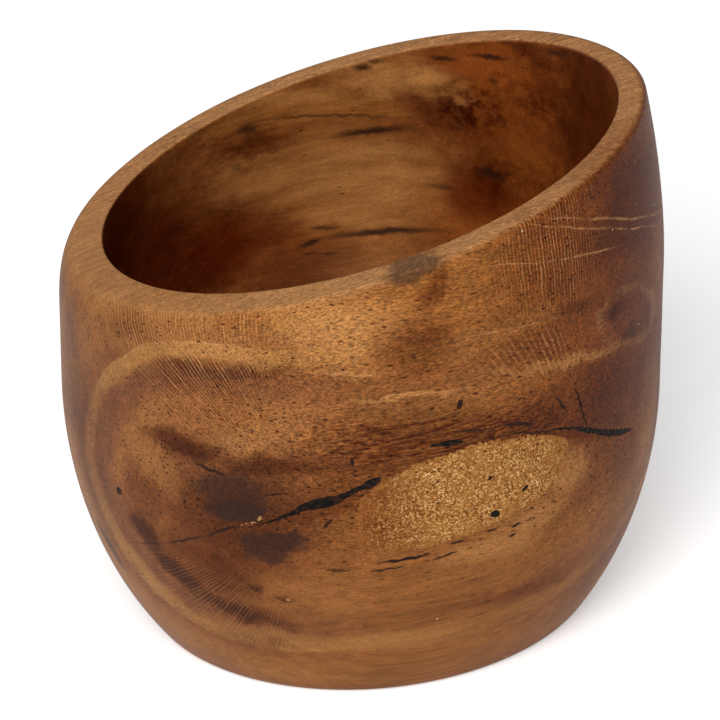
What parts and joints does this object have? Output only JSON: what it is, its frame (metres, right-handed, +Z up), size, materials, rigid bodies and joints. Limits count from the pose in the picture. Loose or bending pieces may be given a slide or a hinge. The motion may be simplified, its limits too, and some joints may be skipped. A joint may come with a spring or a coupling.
{
  "type": "egg cup",
  "caption": "Turned hardwood egg cup with a barrel body, a slanted mouth, a flat foot and a filled void on its front.",
  "frame": {"origin": "centre of the flat foot, where the turning axis meets it", "axes": "+Z up, +X towards the high side of the mouth, -Y towards the filled front"},
  "size_m": [0.0609, 0.06, 0.0528],
  "materials": {
    "cup_wood": "oiled hardwood, matt to satin, orange-brown with golden and dark figure",
    "sawdust_filler": "sawdust and glue, granular, matt",
    "dark_fill": "dark crack fill, satin",
    "bark": "bark chips, matt",
    "knot_wood": "dead knot wood, matt"
  },
  "bodies": {
    "root": {"turned_cup": "cup_wood", "sawdust_fill": "sawdust_filler", "left_seam": "dark_fill", "right_seam": "dark_fill", "upper_seam": "dark_fill", "bark_flecks": "bark", "pin_knots": "knot_wood"}
  },
  "joints": []
}
